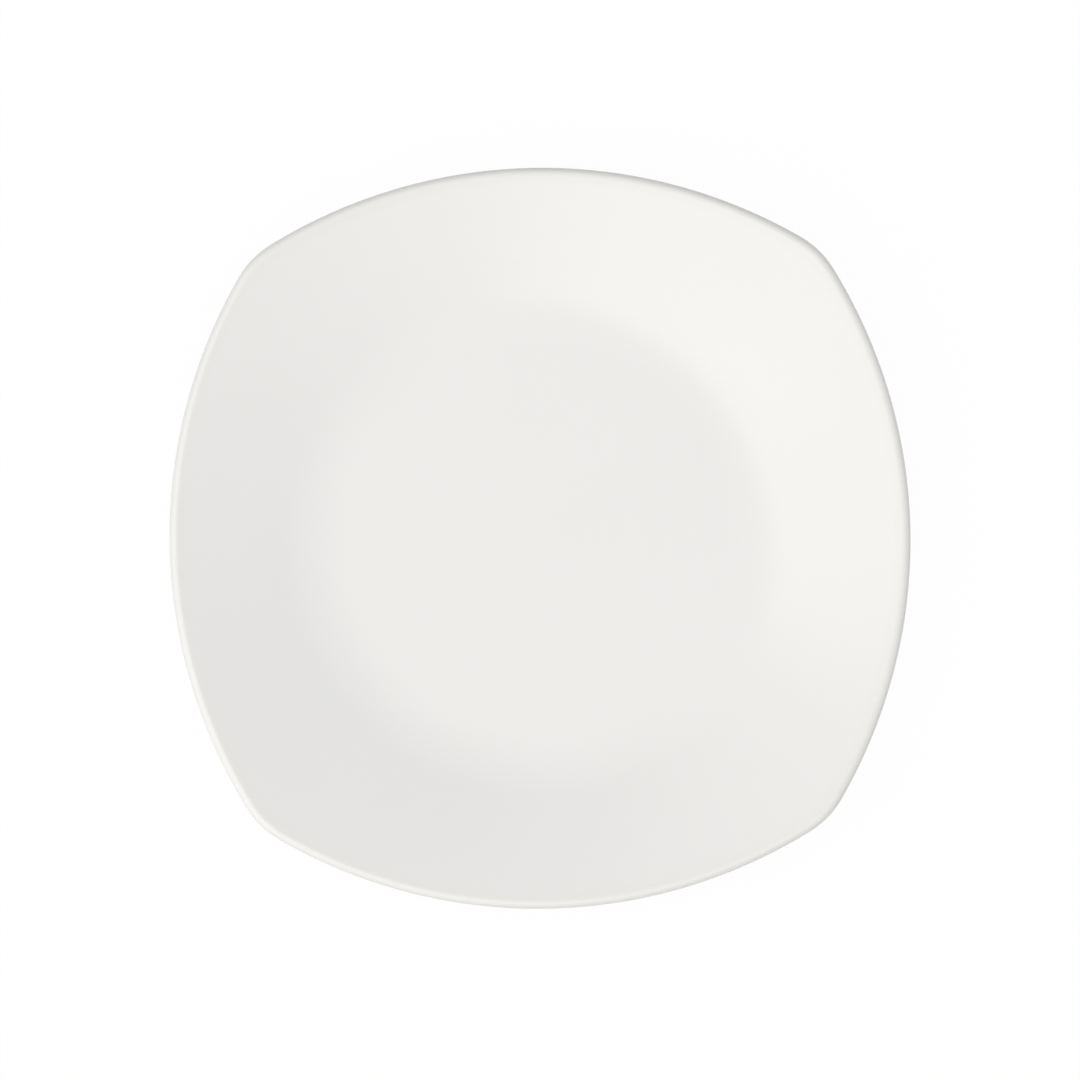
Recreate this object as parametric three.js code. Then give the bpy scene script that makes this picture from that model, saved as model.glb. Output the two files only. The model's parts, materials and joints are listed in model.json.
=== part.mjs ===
// A square coupe plate of glazed porcelain, in millimetres, +Z up.
// The origin is on the table, under the middle of the plate.
//
// The plate is three pieces of material: a porcelain body that is pressed and fired with its foot
// ring in one, and two coats of glaze fused onto it. The foot ring's underside is wiped clean before
// firing, so the coat over the face, lip and underside never meets the one inside the foot ring.
//
// Face and underside are turned surfaces: a flat round well, a cove and a straight flare. The flare
// is trimmed by the square outline, so the lip stands a little higher at the corners.
import * as THREE from "three";
import { mergeVertices } from "three/addons/utils/BufferGeometryUtils.js";

// Outline, seen from above and measured over the glaze: four bowed sides and four round corners.
const WIDTH = 260;
const SIDE_RADIUS = 180;
const CORNER_RADIUS = 33;

// Section of the porcelain body. The rim is all that lies outside the flat well, from the well's
// edge to the middle of a side, and the lip's lower edge has the smaller of its two radii.
const WALL = 3.6;
const RIM_WIDTH = 62;
const COVE_RADIUS = 65;
const FLARE_ANGLE = THREE.MathUtils.degToRad(20);
const UNDERLIP_RADIUS = 1.2;

// Foot ring: it stands under the rim, set out from the well's edge to the middle of the ring.
const FOOT_SETOUT = 5;
const FOOT_HEIGHT = 3.5;
const FOOT_WIDTH = 4.4;
const FOOT_DRAFT = THREE.MathUtils.degToRad(12);
const FOOT_ROUND = 1;
const FOOT_FILLET = 1.6;

// Thickness of the glaze.
const GLAZE = 0.3;

// Facets along each arc.
const SIDE_STEPS = 12;
const CORNER_STEPS = 4;
const COVE_STEPS = 5;
const LIP_STEPS = 5;
const UNDERLIP_STEPS = 3;
const UNDERSIDE_STEPS = 4;
const FILLET_STEPS = 3;
const ROUND_STEPS = 2;

const QUARTER_TURN = Math.PI / 2;
const HALF_TURN = Math.PI;
const FULL_TURN = 2 * Math.PI;

// Points along an arc, the short way from one angle to another.
function arc(centre, radius, from, to, steps) {
  const clockwise = to < from;
  const curve = new THREE.EllipseCurve(centre.x, centre.y, radius, radius, from, to, clockwise);
  return curve.getPoints(steps);
}

// The point at a distance from the centre, in the direction of an angle.
function polar(centre, radius, angle) {
  return new THREE.Vector2(Math.cos(angle), Math.sin(angle)).multiplyScalar(radius).add(centre);
}

// Arcs that run on from one another, with each shared end point kept once.
function chain(first, ...others) {
  return [...first, ...others.flatMap((points) => points.slice(1))];
}

// The outline as points, counter-clockwise from the start of one bowed side. Each corner's arc is
// tangent to the sides that it joins.
function outlinePoints() {
  const sideCentre = new THREE.Vector2(WIDTH / 2 - SIDE_RADIUS, 0);
  const apart = SIDE_RADIUS - CORNER_RADIUS;
  const offset = (sideCentre.x + Math.sqrt(2 * apart ** 2 - sideCentre.x ** 2)) / 2;
  const cornerCentre = new THREE.Vector2(offset, offset);
  const turn = cornerCentre.clone().sub(sideCentre).angle();
  const quarter = chain(
    arc(sideCentre, SIDE_RADIUS, -turn, turn, SIDE_STEPS),
    arc(cornerCentre, CORNER_RADIUS, turn, QUARTER_TURN - turn, CORNER_STEPS),
  ).slice(0, -1);
  const middle = new THREE.Vector2();
  return [0, 1, 2, 3].flatMap((side) =>
    quarter.map((point) => point.clone().rotateAround(middle, side * QUARTER_TURN)),
  );
}

// Sections are drawn in a plane through the axis: x is the distance from the axis, y the height.
// A section's coat is the glaze over the porcelain, and a coat of 0 gives the porcelain itself.
const WELL_RADIUS = WIDTH / 2 - RIM_WIDTH;
const COVE_CENTRE = new THREE.Vector2(WELL_RADIUS, FOOT_HEIGHT + WALL + COVE_RADIUS);
const FOOT_MIDDLE = WELL_RADIUS + FOOT_SETOUT;

// The two arcs of the lip at the end of the flare, which reaches out to a distance from the axis.
// The roll on top takes up the wall that the smaller arc under it leaves.
function lip(reach, coat) {
  const slope = Math.sin(FLARE_ANGLE);
  const roll = (WALL - UNDERLIP_RADIUS * (1 - slope)) / (1 + slope);
  const flareStart = polar(COVE_CENTRE, COVE_RADIUS, FLARE_ANGLE - QUARTER_TURN);
  const run = reach - roll - flareStart.x;
  const height = flareStart.y + (slope * run - roll) / Math.cos(FLARE_ANGLE);
  const rollCentre = new THREE.Vector2(reach - roll, height);
  const underCentre = new THREE.Vector2(reach - UNDERLIP_RADIUS, height);
  return chain(
    arc(rollCentre, roll + coat, FLARE_ANGLE + QUARTER_TURN, 0, LIP_STEPS),
    arc(underCentre, UNDERLIP_RADIUS + coat, 0, FLARE_ANGLE - QUARTER_TURN, UNDERLIP_STEPS),
  );
}

// The middle of the fillet that joins the foot ring's outer wall to the round underside.
function outerFilletCentre() {
  const up = new THREE.Vector2(Math.sin(FOOT_DRAFT), Math.cos(FOOT_DRAFT));
  const outerEdge = new THREE.Vector2(FOOT_MIDDLE + FOOT_WIDTH / 2, 0);
  const start = polar(outerEdge, FOOT_FILLET, -FOOT_DRAFT);
  const away = start.clone().sub(COVE_CENTRE);
  const apart = COVE_RADIUS + WALL + FOOT_FILLET;
  const along = away.dot(up);
  const climb = -along - Math.sqrt(along ** 2 - away.lengthSq() + apart ** 2);
  return start.addScaledVector(up, climb);
}

// The middle of the fillet that joins the foot ring's inner wall to the flat base inside it.
function innerFilletCentre() {
  const height = FOOT_HEIGHT - FOOT_FILLET;
  const lean = height * Math.tan(FOOT_DRAFT) + FOOT_FILLET / Math.cos(FOOT_DRAFT);
  return new THREE.Vector2(FOOT_MIDDLE - FOOT_WIDTH / 2 - lean, height);
}

// The middles of the roundings at the foot's outer and inner edges.
const ROUND_INSET = FOOT_ROUND * Math.tan((QUARTER_TURN - FOOT_DRAFT) / 2);
const OUTER_ROUND = new THREE.Vector2(FOOT_MIDDLE + FOOT_WIDTH / 2 - ROUND_INSET, FOOT_ROUND);
const INNER_ROUND = new THREE.Vector2(FOOT_MIDDLE - FOOT_WIDTH / 2 + ROUND_INSET, FOOT_ROUND);

// From the middle of the well over the lip and back under to the foot ring's outer wall. The glaze
// ends where the foot begins to round under.
function faceSection(reach, coat) {
  const flareTurn = FLARE_ANGLE - QUARTER_TURN;
  const filletCentre = outerFilletCentre();
  const underEnd = filletCentre.clone().sub(COVE_CENTRE).angle() - FULL_TURN;
  const underRadius = COVE_RADIUS + WALL + coat;
  const filletRadius = FOOT_FILLET - coat;
  const wallTurn = HALF_TURN - FOOT_DRAFT;
  return [
    new THREE.Vector2(0, FOOT_HEIGHT + WALL + coat),
    ...arc(COVE_CENTRE, COVE_RADIUS - coat, -QUARTER_TURN, flareTurn, COVE_STEPS),
    ...lip(reach, coat),
    ...chain(
      arc(COVE_CENTRE, underRadius, flareTurn, underEnd, UNDERSIDE_STEPS),
      arc(filletCentre, filletRadius, underEnd + HALF_TURN, wallTurn, FILLET_STEPS),
    ),
    polar(OUTER_ROUND, FOOT_ROUND + coat, -FOOT_DRAFT),
  ];
}

// The bare underside of the foot ring, from its outer wall to its inner wall.
function footSection() {
  return [
    ...arc(OUTER_ROUND, FOOT_ROUND, -FOOT_DRAFT, -QUARTER_TURN, ROUND_STEPS),
    ...arc(INNER_ROUND, FOOT_ROUND, -QUARTER_TURN, FOOT_DRAFT - HALF_TURN, ROUND_STEPS),
  ];
}

// From the foot ring's inner wall to the middle of the base inside it.
function baseSection(coat) {
  return [
    polar(INNER_ROUND, FOOT_ROUND + coat, FOOT_DRAFT - HALF_TURN),
    ...arc(innerFilletCentre(), FOOT_FILLET - coat, FOOT_DRAFT, QUARTER_TURN, FILLET_STEPS),
    new THREE.Vector2(0, FOOT_HEIGHT - coat),
  ];
}

// A skin is a row of points for each point of the outline: the section that reaches out to it,
// turned to face it. The porcelain stops short of the outline by the glaze over it.
const OUTLINE = outlinePoints();
function skin(sectionAt) {
  return OUTLINE.map((point) => {
    const facing = point.clone().normalize();
    const section = sectionAt(point.length() - GLAZE);
    return section.map(({ x, y }) => new THREE.Vector3(x * facing.x, x * facing.y, y));
  });
}

// The narrow skin that joins a column of one skin to a column of another.
function edge(from, to, column) {
  return from.map((row, i) => [row.at(column), to[i].at(column)]);
}

// The triangles of a skin, as corner after corner. Where two pieces share a skin, the one that it
// bounds from inside has the same triangles, wound the other way.
function triangles(rows, facesIn = false) {
  const corners = [];
  rows.forEach((row, i) => {
    const next = rows[(i + 1) % rows.length];
    for (let j = 0; j + 1 < row.length; j++) {
      const halves = [
        [row[j], row[j + 1], next[j]],
        [next[j + 1], next[j], row[j + 1]],
      ];
      for (const [a, b, c] of halves) {
        const onAxis = a.equals(b) || b.equals(c) || c.equals(a);
        if (!onAxis) corners.push(...(facesIn ? [a, c, b] : [a, b, c]));
      }
    }
  });
  return corners;
}

// One closed piece, made of the triangles that bound it.
function piece(name, corners, material) {
  const geometry = mergeVertices(new THREE.BufferGeometry().setFromPoints(corners));
  geometry.computeVertexNormals();
  const mesh = new THREE.Mesh(geometry, material);
  mesh.name = name;
  return mesh;
}

// Bare fired porcelain, as it shows on the foot ring.
function barePorcelain() {
  return new THREE.MeshStandardMaterial({ color: 0xe6e1d8, roughness: 0.8, metalness: 0 });
}

// Warm white glaze with a soft gloss.
function whiteGlaze() {
  return new THREE.MeshStandardMaterial({ color: 0xf0eeeb, roughness: 0.15, metalness: 0 });
}

// The pressed body, with its foot ring.
function porcelainBody() {
  const wall = skin((reach) => [
    ...chain(faceSection(reach, 0), footSection()),
    ...baseSection(0).slice(1),
  ]);
  return piece("porcelain_body", triangles(wall), barePorcelain());
}

// The coat over the face, the lip and the underside, down the outside of the foot ring.
function faceGlaze() {
  const outside = skin((reach) => faceSection(reach, GLAZE));
  const inside = skin((reach) => faceSection(reach, 0));
  const corners = [
    ...triangles(outside),
    ...triangles(edge(outside, inside, -1)),
    ...triangles(inside, true),
  ];
  return piece("face_glaze", corners, whiteGlaze());
}

// The coat on the base inside the foot ring, and down the ring's inner wall.
function baseGlaze() {
  const outside = skin(() => baseSection(GLAZE));
  const inside = skin(() => baseSection(0));
  const corners = [
    ...triangles(outside),
    ...triangles(edge(inside, outside, 0)),
    ...triangles(inside, true),
  ];
  return piece("base_glaze", corners, whiteGlaze());
}

const plate = new THREE.Group();
plate.name = "square_plate";
plate.add(porcelainBody(), faceGlaze(), baseGlaze());

export default plate;
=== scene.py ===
import json
import math

import bmesh
import bpy
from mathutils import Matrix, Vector, noise


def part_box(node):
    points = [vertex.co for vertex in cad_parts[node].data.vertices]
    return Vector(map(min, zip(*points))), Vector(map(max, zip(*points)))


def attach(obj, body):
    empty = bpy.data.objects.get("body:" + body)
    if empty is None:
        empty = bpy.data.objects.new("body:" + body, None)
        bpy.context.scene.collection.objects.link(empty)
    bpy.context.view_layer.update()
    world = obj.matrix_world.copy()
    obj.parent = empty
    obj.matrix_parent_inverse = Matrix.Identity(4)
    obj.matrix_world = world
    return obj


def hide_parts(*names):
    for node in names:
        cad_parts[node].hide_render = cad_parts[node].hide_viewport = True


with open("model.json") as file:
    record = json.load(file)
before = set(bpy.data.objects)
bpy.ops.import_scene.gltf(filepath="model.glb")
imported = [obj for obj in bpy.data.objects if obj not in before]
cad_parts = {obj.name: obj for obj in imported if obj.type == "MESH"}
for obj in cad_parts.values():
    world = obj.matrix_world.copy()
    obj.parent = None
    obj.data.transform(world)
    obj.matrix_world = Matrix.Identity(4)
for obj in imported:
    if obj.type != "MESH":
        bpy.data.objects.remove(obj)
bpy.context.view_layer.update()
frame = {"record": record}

# Porcelain body. The plate itself: one slab of white porcelain, pressed over a mould that shapes
# well, cove and flare, and trimmed to its square outline. The foot ring is turned from the same
# clay, and its underside is the only place where the fired body stays bare.
QUARTER_TURN = math.pi / 2
HALF_TURN = math.pi
FULL_TURN = 2 * math.pi

mounts = {mount["name"]: Vector(mount["pos_m"]) for mount in frame["record"]["mounts"]}
HALF_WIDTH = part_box("face_glaze")[1].x
GLAZE = HALF_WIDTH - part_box("porcelain_body")[1].x
FLOOR = mounts["well_floor"].z - GLAZE
FOOT_MIDDLE = mounts["foot_rest"].x

SIDE_RADIUS = 0.180
CORNER_RADIUS = 0.033
RIM_WIDTH = 0.062
WELL_RADIUS = HALF_WIDTH - RIM_WIDTH
WALL = 0.0036
BASE = FLOOR - WALL
COVE_RADIUS = 0.065
FLARE = math.radians(20)
UNDERLIP_RADIUS = 0.0012
ROLL_RADIUS = (WALL - UNDERLIP_RADIUS * (1 - math.sin(FLARE))) / (1 + math.sin(FLARE))
FOOT_HALF = 0.0022
FOOT_DRAFT = math.radians(12)
FOOT_ROUND = 0.001
FOOT_FILLET = 0.0016
SPIN_STEPS = 320
MERGE_REACH = 0.000001


def polar(centre, radius, angle):
    """The point of a section at a distance from a centre, in the direction of an angle."""
    return centre + radius * Vector((math.cos(angle), math.sin(angle)))


# The middles of the section's arcs, as distance from the axis and height over the table.
COVE = Vector((WELL_RADIUS, FLOOR + COVE_RADIUS))
flare_start = polar(COVE, COVE_RADIUS, FLARE - QUARTER_TURN)
reach = HALF_WIDTH - GLAZE
run = reach - ROLL_RADIUS - flare_start.x
lip_height = flare_start.y + (run * math.sin(FLARE) - ROLL_RADIUS) / math.cos(FLARE)
ROLL = Vector((reach - ROLL_RADIUS, lip_height))
UNDERLIP = Vector((reach - UNDERLIP_RADIUS, lip_height))

# The outer fillet touches the foot's wall and the underside of the cove.
up_the_wall = Vector((math.sin(FOOT_DRAFT), math.cos(FOOT_DRAFT)))
fillet_start = polar(Vector((FOOT_MIDDLE + FOOT_HALF, 0)), FOOT_FILLET, -FOOT_DRAFT)
away = fillet_start - COVE
along = away.dot(up_the_wall)
apart = COVE_RADIUS + WALL + FOOT_FILLET
climb = -along - math.sqrt(along ** 2 - away.length_squared + apart ** 2)
OUTER_FILLET = fillet_start + climb * up_the_wall
UNDER_END = math.atan2(OUTER_FILLET.y - COVE.y, OUTER_FILLET.x - COVE.x)

fillet_height = BASE - FOOT_FILLET
lean = fillet_height * math.tan(FOOT_DRAFT) + FOOT_FILLET / math.cos(FOOT_DRAFT)
INNER_FILLET = Vector((FOOT_MIDDLE - FOOT_HALF - lean, fillet_height))
round_inset = FOOT_ROUND * math.tan((QUARTER_TURN - FOOT_DRAFT) / 2)
OUTER_ROUND = Vector((FOOT_MIDDLE + FOOT_HALF - round_inset, FOOT_ROUND))
INNER_ROUND = Vector((FOOT_MIDDLE - FOOT_HALF + round_inset, FOOT_ROUND))


def start_at(section, point):
    """Puts the first point of a section, which is drawn in the XZ plane."""
    return bmesh.ops.create_vert(section, co=(point[0], 0, point[1]))["vert"][0]


def line_to(section, tip, point, steps):
    """Draws straight on from the tip of a section, in equal steps, to the new tip."""
    step = (Vector((point[0], 0, point[1])) - tip.co) / steps
    for _ in range(steps):
        place = tip.co + step
        tip = bmesh.ops.extrude_vert_indiv(section, verts=[tip])["verts"][0]
        tip.co = place
    return tip


def arc_about(section, tip, centre, angle, steps):
    """Draws on along an arc about a centre, counter-clockwise where the angle is positive."""
    drawn = bmesh.ops.spin(
        section, geom=[tip], cent=(centre.x, 0, centre.y), axis=(0, -1, 0), angle=angle, steps=steps
    )
    return next(last for last in drawn["geom_last"] if isinstance(last, bmesh.types.BMVert))


def draw_face(section, coat):
    """The well, cove, flare, lip and underside, down to where the foot begins to round under."""
    tip = start_at(section, (0, FLOOR + coat))
    tip = line_to(section, tip, (WELL_RADIUS, FLOOR + coat), steps=12)
    tip = arc_about(section, tip, COVE, FLARE, steps=20)
    roll_start = polar(ROLL, ROLL_RADIUS + coat, FLARE + QUARTER_TURN)
    tip = line_to(section, tip, roll_start, steps=10)
    tip = arc_about(section, tip, ROLL, -FLARE - QUARTER_TURN, steps=15)
    tip = arc_about(section, tip, UNDERLIP, FLARE - QUARTER_TURN, steps=9)
    under_start = polar(COVE, COVE_RADIUS + WALL + coat, FLARE - QUARTER_TURN)
    tip = line_to(section, tip, under_start, steps=10)
    tip = arc_about(section, tip, COVE, UNDER_END - FLARE + QUARTER_TURN, steps=16)
    tip = arc_about(section, tip, OUTER_FILLET, -FOOT_DRAFT - UNDER_END, steps=8)
    return line_to(section, tip, polar(OUTER_ROUND, FOOT_ROUND + coat, -FOOT_DRAFT), steps=2)


def draw_base(section, coat):
    """The flat base inside the foot ring and the ring's inner wall, down to its rounding."""
    tip = start_at(section, (0, BASE - coat))
    tip = line_to(section, tip, (INNER_FILLET.x, BASE - coat), steps=12)
    tip = arc_about(section, tip, INNER_FILLET, FOOT_DRAFT - QUARTER_TURN, steps=8)
    round_start = polar(INNER_ROUND, FOOT_ROUND + coat, FOOT_DRAFT - HALF_TURN)
    return line_to(section, tip, round_start, steps=2)


# The square outline: where its corners' middles lie, and at what angle a side gives way to a corner.
corner_apart = SIDE_RADIUS - CORNER_RADIUS
side_centre = HALF_WIDTH - SIDE_RADIUS
corner_offset = (side_centre + math.sqrt(2 * corner_apart ** 2 - side_centre ** 2)) / 2
corner_reach = corner_offset * math.sqrt(2)
side_turn = math.atan2(corner_offset, corner_offset - side_centre)
side_end = math.atan2(
    SIDE_RADIUS * math.sin(side_turn), side_centre + SIDE_RADIUS * math.cos(side_turn)
)
FLARE_START = 0.098
FLARE_END = 0.1265


def outline_reach(angle):
    """How far the square outline lies from the axis: four bowed sides, four round corners."""
    folded = abs((angle + QUARTER_TURN / 2) % QUARTER_TURN - QUARTER_TURN / 2)
    if folded < side_end:
        across = side_centre * math.sin(folded)
        return side_centre * math.cos(folded) + math.sqrt(SIDE_RADIUS ** 2 - across ** 2)
    off_corner = folded - QUARTER_TURN / 2
    across = corner_reach * math.sin(off_corner)
    return corner_reach * math.cos(off_corner) + math.sqrt(CORNER_RADIUS ** 2 - across ** 2)


def turn_and_draw_out(section):
    """Turns a section about the axis, then draws the round rim out along its flare to the outline."""
    bmesh.ops.spin(
        section, geom=section.verts[:] + section.edges[:], cent=(0, 0, 0), axis=(0, 0, 1),
        angle=FULL_TURN, steps=SPIN_STEPS, use_merge=True,
    )
    bmesh.ops.remove_doubles(section, verts=section.verts, dist=MERGE_REACH)
    bmesh.ops.recalc_face_normals(section, faces=section.faces)
    for vert in section.verts:
        radius = vert.co.xy.length
        share = min(max((radius - FLARE_START) / (FLARE_END - FLARE_START), 0), 1)
        if share:
            out = share * (outline_reach(math.atan2(vert.co.y, vert.co.x)) - HALF_WIDTH)
            vert.co.xy *= (radius + out) / radius
            vert.co.z += out * math.tan(FLARE)


def finish_piece(name, section, material, node):
    """Makes a turned section a smooth object with a material, hung on the root, and hides a node of
    the frame.
    """
    for face in section.faces:
        face.smooth = True
    mesh = bpy.data.meshes.new(name)
    section.to_mesh(mesh)
    section.free()
    mesh.materials.append(material)
    piece = bpy.data.objects.new(name, mesh)
    bpy.context.collection.objects.link(piece)
    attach(piece, "root")
    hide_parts(node)


class Shade:
    """A socket of a node tree. Arithmetic on it adds Math nodes."""

    def __init__(self, tree, socket=None):
        self.tree = tree
        self.socket = socket

    def node(self, kind, settings, inputs, output=0):
        """Adds a node: its settings are set first, then its sockets' values or links."""
        made = self.tree.nodes.new(kind)
        for name, value in settings.items():
            setattr(made, name, value)
        for name, value in inputs.items():
            if isinstance(value, Shade):
                self.tree.links.new(value.socket, made.inputs[name])
            else:
                made.inputs[name].default_value = value
        return Shade(self.tree, made.outputs[output])

    def maths(self, operation, first, second):
        """Adds a Math node on two values."""
        return self.node("ShaderNodeMath", {"operation": operation}, {0: first, 1: second})

    def __add__(self, other):
        return self.maths("ADD", self, other)

    def __sub__(self, other):
        return self.maths("SUBTRACT", self, other)

    def __rsub__(self, other):
        return self.maths("SUBTRACT", other, self)

    def __mul__(self, other):
        return self.maths("MULTIPLY", self, other)

    __radd__ = __add__
    __rmul__ = __mul__


def new_material(name):
    """A new material, the start of its nodes, and its shader."""
    material = bpy.data.materials.new(name)
    material.use_nodes = True
    return material, Shade(material.node_tree), material.node_tree.nodes["Principled BSDF"]


def mottle(tree, place, per_metre, detail):
    """Cloudy variation from 0 to 1, with a number of clouds to the metre."""
    return tree.node(
        "ShaderNodeTexNoise", {}, {"Vector": place, "Scale": per_metre, "Detail": detail}
    )


def flecks(tree, place, per_metre, size):
    """Scattered round dots of about a size, 1 in the middle of each and 0 around them."""
    away = tree.node("ShaderNodeTexVoronoi", {}, {"Vector": place, "Scale": per_metre}, "Distance")
    return tree.node(
        "ShaderNodeMapRange",
        {"interpolation_type": "SMOOTHSTEP"},
        {"Value": away, "From Max": size / 2 * per_metre, "To Min": 1, "To Max": 0},
    )


def ramp(tree, value, low, high):
    """0 where a value is at its low end, 1 at its high end, and smooth between them."""
    return tree.node(
        "ShaderNodeMapRange",
        {"interpolation_type": "SMOOTHSTEP"},
        {"Value": value, "From Min": low, "From Max": high},
    )


def tint(tree, share, first, second):
    """One colour where the share is 0, and another where it is 1."""
    return tree.node("ShaderNodeMix", {"data_type": "RGBA"}, {0: share, 6: first, 7: second}, 2)


def finish_material(tree, shader, colour, roughness, height, depth):
    """Links a finish to its shader, with a relief of a depth in metres."""
    bump = tree.node("ShaderNodeBump", {}, {"Height": height, "Distance": depth})
    tree.tree.links.new(colour.socket, shader.inputs["Base Color"])
    tree.tree.links.new(roughness.socket, shader.inputs["Roughness"])
    tree.tree.links.new(bump.socket, shader.inputs["Normal"])


CLAY_DARK = (0.66, 0.615, 0.54, 1)
CLAY_LIGHT = (0.80, 0.765, 0.70, 1)
CLAY_TOASTED = (0.62, 0.47, 0.33, 1)
CLAY_SCUFFED = (0.52, 0.505, 0.48, 1)
CLAY_SPECK = (0.30, 0.25, 0.20, 1)
CLOUD_SHARE = 0.6
TOASTED_SHARE = 0.5
TOAST_WIDTH = 0.0004
TOAST_WAVER = 0.0006
SCUFFED_SHARE = 0.45
SCUFFED_BY_RINGS = 0.35
SPECK_SHARE = 0.7
CLAY_ROUGHNESS = 0.78
GRAIN_ROUGHNESS = 0.15
SCUFF_POLISH = 0.25
CLAY_RELIEF = 0.00004
GRAIN_HEIGHT = 0.6
RING_HEIGHT = 0.4
SPECK_PIT = 0.5


def bare_porcelain():
    """Fired clay: dry and fine grained, ground in rings, toasted beside the glaze, and scuffed."""
    material, tree, shader = new_material("bare_porcelain")
    place = tree.node("ShaderNodeTexCoord", {}, {}, "Object")
    level = tree.node("ShaderNodeVectorMath", {"operation": "MULTIPLY"}, {0: place, 1: (1, 1, 0)})
    radius = tree.node("ShaderNodeVectorMath", {"operation": "LENGTH"}, {0: level}, "Value")
    grain = mottle(tree, place, per_metre=2600, detail=3)
    clouds = mottle(tree, place, per_metre=90, detail=4)
    specks = flecks(tree, place, per_metre=420, size=0.0004)
    rings = tree.node(
        "ShaderNodeTexWave",
        {"wave_type": "RINGS", "rings_direction": "Z"},
        {"Vector": place, "Scale": 700, "Distortion": 2.5, "Detail": 2, "Detail Scale": 0.3},
        "Fac",
    )
    off_middle = tree.node("ShaderNodeMath", {"operation": "ABSOLUTE"}, {0: radius - FOOT_MIDDLE})
    wavering = off_middle + clouds * TOAST_WAVER
    toasted = ramp(tree, wavering, low=FOOT_HALF, high=FOOT_HALF + TOAST_WIDTH)
    rubbed = rings * SCUFFED_BY_RINGS + clouds * (1 - SCUFFED_BY_RINGS)
    scuffed = ramp(tree, rubbed, low=0.5, high=0.75)
    clay = tint(tree, clouds * CLOUD_SHARE + grain * (1 - CLOUD_SHARE), CLAY_DARK, CLAY_LIGHT)
    clay = tint(tree, toasted * TOASTED_SHARE, clay, CLAY_TOASTED)
    clay = tint(tree, scuffed * SCUFFED_SHARE, clay, CLAY_SCUFFED)
    clay = tint(tree, specks * SPECK_SHARE, clay, CLAY_SPECK)
    roughness = CLAY_ROUGHNESS + grain * GRAIN_ROUGHNESS - scuffed * SCUFF_POLISH
    height = grain * GRAIN_HEIGHT + rings * RING_HEIGHT - specks * SPECK_PIT
    finish_material(tree, shader, clay, roughness, height, CLAY_RELIEF)
    return material


body = bmesh.new()
outer_edge = draw_face(body, 0)
outer_edge = arc_about(body, outer_edge, OUTER_ROUND, FOOT_DRAFT - QUARTER_TURN, steps=6)
outer_edge = line_to(body, outer_edge, (INNER_ROUND.x, 0), steps=4)
arc_about(body, outer_edge, INNER_ROUND, FOOT_DRAFT - QUARTER_TURN, steps=6)
draw_base(body, 0)
bmesh.ops.remove_doubles(body, verts=body.verts, dist=MERGE_REACH)
turn_and_draw_out(body)
finish_piece("body", body, bare_porcelain(), "porcelain_body")

# Face glaze. A coat of clear glass over white engobe, fused to the body in the second firing. It
# covers well, flare, lip and underside, runs thin over the lip, and ends in a soft bead that wavers
# where the foot was wiped clean with a sponge.
BEAD_STEPS = 6
THIN_REACH = 0.0031
POOL_REACH = 0.0045
EVEN_DEPTH = 0.5
WAVER_TOP = 0.0022
WAVER = 0.0002
WAVER_TURNS = 9

GLAZE_THIN = (0.822, 0.814, 0.796, 1)
GLAZE_LOW = (0.822, 0.818, 0.808, 1)
GLAZE_HIGH = (0.840, 0.836, 0.827, 1)
GLAZE_POOLED = (0.775, 0.800, 0.795, 1)
PINHOLE_SHARE = 0.4
GLAZE_ROUGHNESS = 0.09
CLOUD_ROUGHNESS = 0.06
PEEL_ROUGHNESS = 0.03
PINHOLE_ROUGHNESS = 0.3
GLAZE_RELIEF = 0.00004
WAVE_HEIGHT = 1.6
PEEL_HEIGHT = 0.12


def share_near(point, middle, surface, limit):
    """1 on an arc about a middle, falling to 0 at a limit farther out."""
    return min(max((limit - (point - middle).length) / (limit - surface), 0), 1)


def mark_depth(section, corner):
    """Notes the depth of the glaze on a section: 0 over the lip, 1 in a corner of the foot."""
    depth = section.verts.layers.float.new("glaze_depth")
    for vert in section.verts:
        thin = share_near(vert.co.xz, ROLL, ROLL_RADIUS + GLAZE, THIN_REACH)
        pooled = share_near(vert.co.xz, corner, FOOT_FILLET, POOL_REACH)
        vert[depth] = EVEN_DEPTH * (1 - thin) + (1 - EVEN_DEPTH) * pooled


def waver_edge(section, edge):
    """Moves the wiped edge of a coat up and down the foot's wall, a little and round the ring."""
    for vert in section.verts:
        share = min(max((WAVER_TOP - vert.co.z) / (WAVER_TOP - edge.y), 0), 1)
        radius = vert.co.xy.length
        if share and abs(radius - edge.x) < POOL_REACH:
            around = vert.co.xy.normalized() * WAVER_TURNS
            rise = share * WAVER * noise.noise((around.x, around.y, edge.x))
            slope = math.copysign(math.tan(FOOT_DRAFT), edge.x - FOOT_MIDDLE)
            vert.co.xy *= (radius + rise * slope) / radius
            vert.co.z += rise


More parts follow.
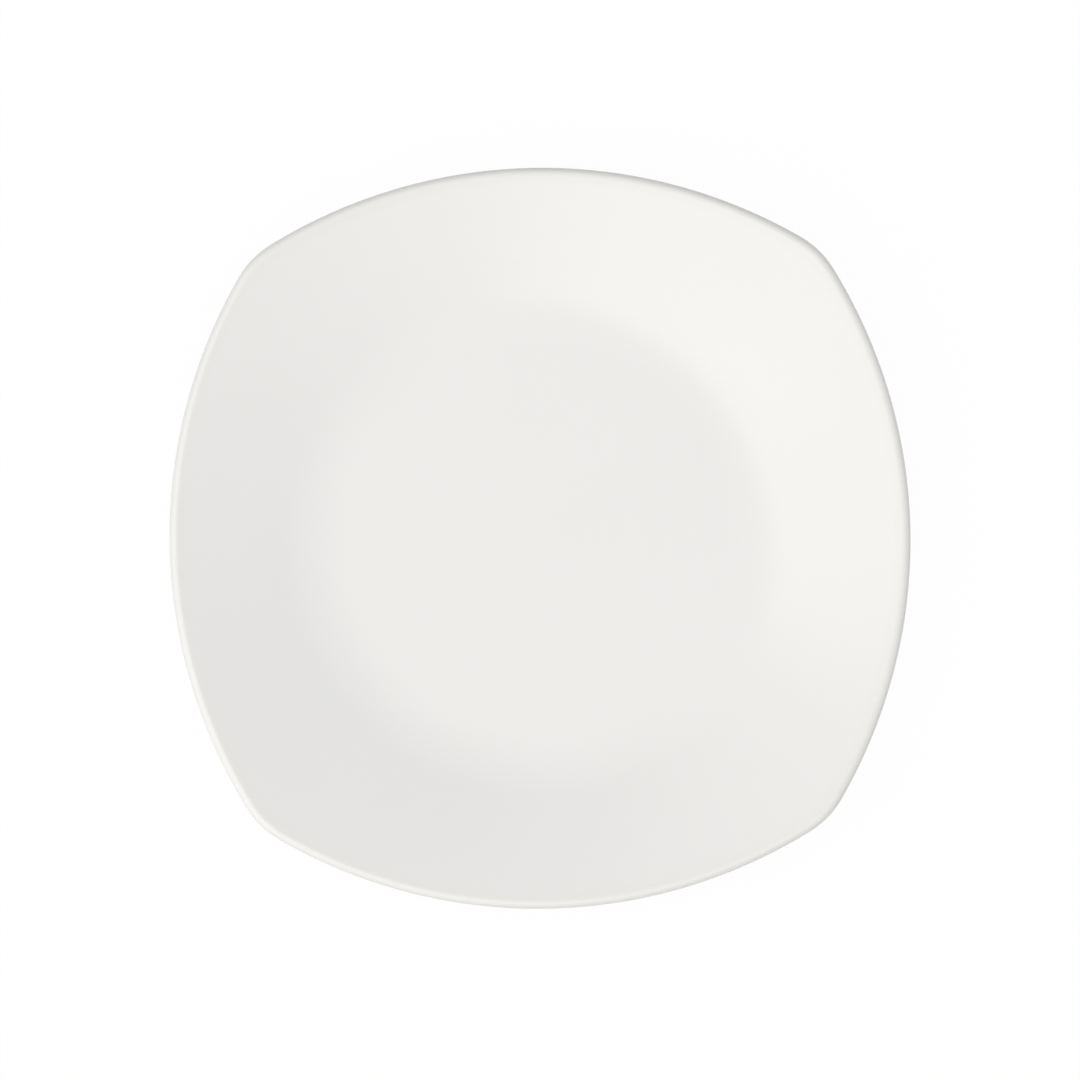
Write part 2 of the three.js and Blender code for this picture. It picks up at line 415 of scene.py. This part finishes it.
def white_glaze():
    """White glaze with a soft gloss: slow waves and fine peel from the firing, and rare pinholes."""
    material, tree, shader = new_material("white_glaze")
    place = tree.node("ShaderNodeTexCoord", {}, {}, "Object")
    depth = tree.node("ShaderNodeAttribute", {"attribute_name": "glaze_depth"}, {}, "Fac")
    clouds = mottle(tree, place, per_metre=24, detail=3)
    waves = mottle(tree, place, per_metre=38, detail=1)
    peel = mottle(tree, place, per_metre=420, detail=2)
    pinholes = flecks(tree, place, per_metre=190, size=0.0006)
    thin = ramp(tree, EVEN_DEPTH - depth, low=0, high=EVEN_DEPTH)
    pooled = ramp(tree, depth, low=EVEN_DEPTH, high=1)
    glass = tint(tree, clouds, GLAZE_LOW, GLAZE_HIGH)
    glass = tint(tree, thin, glass, GLAZE_THIN)
    glass = tint(tree, pooled, glass, GLAZE_POOLED)
    glass = tint(tree, pinholes * PINHOLE_SHARE, glass, CLAY_DARK)
    roughness = GLAZE_ROUGHNESS + clouds * CLOUD_ROUGHNESS + peel * PEEL_ROUGHNESS
    roughness = roughness + pinholes * PINHOLE_ROUGHNESS
    height = waves * WAVE_HEIGHT + peel * PEEL_HEIGHT - pinholes
    finish_material(tree, shader, glass, roughness, height, GLAZE_RELIEF)
    return material


glaze_finish = white_glaze()
face = bmesh.new()
face_edge = polar(OUTER_ROUND, FOOT_ROUND + GLAZE / 2, -FOOT_DRAFT)
arc_about(face, draw_face(face, GLAZE), face_edge, -HALF_TURN, BEAD_STEPS)
draw_face(face, 0)
bmesh.ops.remove_doubles(face, verts=face.verts, dist=MERGE_REACH)
mark_depth(face, OUTER_FILLET)
turn_and_draw_out(face)
waver_edge(face, face_edge)
finish_piece("glaze_over_face", face, glaze_finish, "face_glaze")

# Base glaze. The same glass inside the foot ring, poured in and swilled round before the firing.
# It lies on the base and climbs the ring's inner wall to a wavering bead of its own.
base = bmesh.new()
base_edge = polar(INNER_ROUND, FOOT_ROUND + GLAZE / 2, FOOT_DRAFT - HALF_TURN)
arc_about(base, draw_base(base, GLAZE), base_edge, HALF_TURN, BEAD_STEPS)
draw_base(base, 0)
bmesh.ops.remove_doubles(base, verts=base.verts, dist=MERGE_REACH)
mark_depth(base, INNER_FILLET)
turn_and_draw_out(base)
waver_edge(base, base_edge)
finish_piece("glaze_inside_foot", base, glaze_finish, "base_glaze")

# Table. A plain white sheet under the plate. The camera and the gloss see it as white paper, with
# the plate's shadow on it: plain under the rim, where the plate stands, and faint beyond the lip.
TABLE_SIZE = 6.0
SHADOW_UNDER = 0.5
SHADOW_BEYOND = 0.03
RIM_START = 0.09
RIM_END = 0.13
SHADOW_END = 0.5
BOUNCE = 0.6

table = bmesh.new()
bmesh.ops.create_grid(table, x_segments=1, y_segments=1, size=TABLE_SIZE / 2)
table_mesh = bpy.data.meshes.new("table")
table.to_mesh(table_mesh)
table.free()
table_material, paper, plain_shader = new_material("white_paper")
paper.tree.nodes.remove(plain_shader)


def seen_directly(tree):
    """1 for what the camera, a reflection or a clear piece shows, and 0 for light that spreads."""
    kinds = ("Is Camera Ray", "Is Glossy Ray", "Is Transmission Ray")
    rays = [tree.node("ShaderNodeLightPath", {}, {}, kind) for kind in kinds]
    return tree.node("ShaderNodeClamp", {}, {"Value": rays[0] + rays[1] + rays[2]})


shown = seen_directly(paper)
sheet = paper.node("ShaderNodeBsdfDiffuse", {}, {"Color": shown * (1 - BOUNCE) + BOUNCE})
glow = paper.node("ShaderNodeEmission", {}, {"Color": (1, 1, 1, 1), "Strength": 1})
spot = paper.node("ShaderNodeTexCoord", {}, {}, "Object")
off_axis = paper.node("ShaderNodeVectorMath", {"operation": "LENGTH"}, {0: spot}, "Value")
under = 1 - ramp(paper, off_axis, low=RIM_START, high=RIM_END)
beyond = 1 - ramp(paper, off_axis, low=RIM_END, high=SHADOW_END)
shadow = under * (SHADOW_UNDER - SHADOW_BEYOND) + beyond * SHADOW_BEYOND
surface = paper.node("ShaderNodeMixShader", {}, {0: shown * (1 - shadow), 1: sheet, 2: glow})
paper.tree.links.new(surface.socket, paper.tree.nodes["Material Output"].inputs["Surface"])
table_mesh.materials.append(table_material)
table_top = bpy.data.objects.new("table", table_mesh)
bpy.context.collection.objects.link(table_top)

# Light. A white room gives an even fill. A wide soft box hangs over the plate, and a warmer one leans
# in from the lower left of the photograph. Two weak ones stand left and right. The glaze doesn't
# mirror the left one, which would whiten the well where it is seen low from the right.
FILL_LEVEL = 0.277
SOFT_EDGE = 0.19
WHITE_LIGHT = (1, 1, 1)
WARM_LIGHT = (1, 0.98, 0.93)

world = bpy.data.worlds.new("white_room")
bpy.context.scene.world = world
world.use_nodes = True
room = Shade(world.node_tree)
level = seen_directly(room) * (1 - FILL_LEVEL) + FILL_LEVEL
room.tree.nodes["Background"].inputs["Color"].default_value = (1, 1, 1, 1)
room.tree.links.new(level.socket, room.tree.nodes["Background"].inputs["Strength"])


def soft_box(name, azimuth, elevation, distance, size, watts, colour, mirrored=True):
    """A soft box that faces the middle of the plate from a direction in degrees, dim at its edges.

    The glaze shows it as a reflection only where it is mirrored.
    """
    lamp = bpy.data.lights.new(name, "AREA")
    lamp.shape = "RECTANGLE"
    lamp.size, lamp.size_y = size
    lamp.energy = watts
    lamp.color = colour
    lamp.use_nodes = True
    cloth = Shade(lamp.node_tree)
    place = cloth.node("ShaderNodeNewGeometry", {}, {}, "Parametric")
    across = cloth.node("ShaderNodeSeparateXYZ", {}, {"Vector": place}, "X")
    upward = cloth.node("ShaderNodeSeparateXYZ", {}, {"Vector": place}, "Y")
    # A place's share of the way across, times the rest of the way, is 0 at both edges.
    dimmed = [ramp(cloth, side * (1 - side), low=0, high=SOFT_EDGE) for side in (across, upward)]
    glow = dimmed[0] * dimmed[1]
    cloth.tree.links.new(glow.socket, cloth.tree.nodes["Emission"].inputs["Color"])
    holder = bpy.data.objects.new(name, lamp)
    rise = math.radians(elevation)
    turn = math.radians(azimuth)
    level_reach = distance * math.cos(rise)
    holder.location = (
        level_reach * math.cos(turn),
        level_reach * math.sin(turn),
        distance * math.sin(rise),
    )
    holder.rotation_euler = Vector(holder.location).to_track_quat("Z", "Y").to_euler()
    holder.visible_glossy = mirrored
    bpy.context.collection.objects.link(holder)


soft_box(
    "top_box", azimuth=0, elevation=90, distance=2, size=(4, 4), watts=38.9, colour=WHITE_LIGHT
)
soft_box(
    "key_box", azimuth=218, elevation=40, distance=1.4, size=(3, 2.4), watts=20.2, colour=WARM_LIGHT
)
soft_box(
    "left_box", azimuth=180, elevation=28, distance=2, size=(3, 2.5), watts=14.5, colour=WHITE_LIGHT,
    mirrored=False,
)
soft_box(
    "right_box", azimuth=0, elevation=28, distance=2, size=(2.6, 2.2), watts=10.6, colour=WHITE_LIGHT
)

# Camera. It looks straight down on the plate, which is 741 of the photograph's 1080 pixels wide and
# lies turned by about a degree in it.
PHOTO_PIXELS = 1080
PLATE_PIXELS = 741
PLATE_MIDDLE = (540.1, 538.3)
PLATE_TURN = math.radians(0.9)
CAMERA_DISTANCE = 1.8
SENSOR_MM = 36

frame_width = 2 * HALF_WIDTH * PHOTO_PIXELS / PLATE_PIXELS
pixel = frame_width / PHOTO_PIXELS
camera = bpy.data.cameras.new("camera")
camera.sensor_width = SENSOR_MM
camera.lens = SENSOR_MM * CAMERA_DISTANCE / frame_width
viewer = bpy.data.objects.new("camera", camera)
viewer.location = (
    (PHOTO_PIXELS / 2 - PLATE_MIDDLE[0]) * pixel,
    (PLATE_MIDDLE[1] - PHOTO_PIXELS / 2) * pixel,
    lip_height + CAMERA_DISTANCE,
)
viewer.rotation_euler.z = -PLATE_TURN
bpy.context.collection.objects.link(viewer)
bpy.context.scene.camera = viewer
bpy.context.scene.view_settings.view_transform = "Standard"
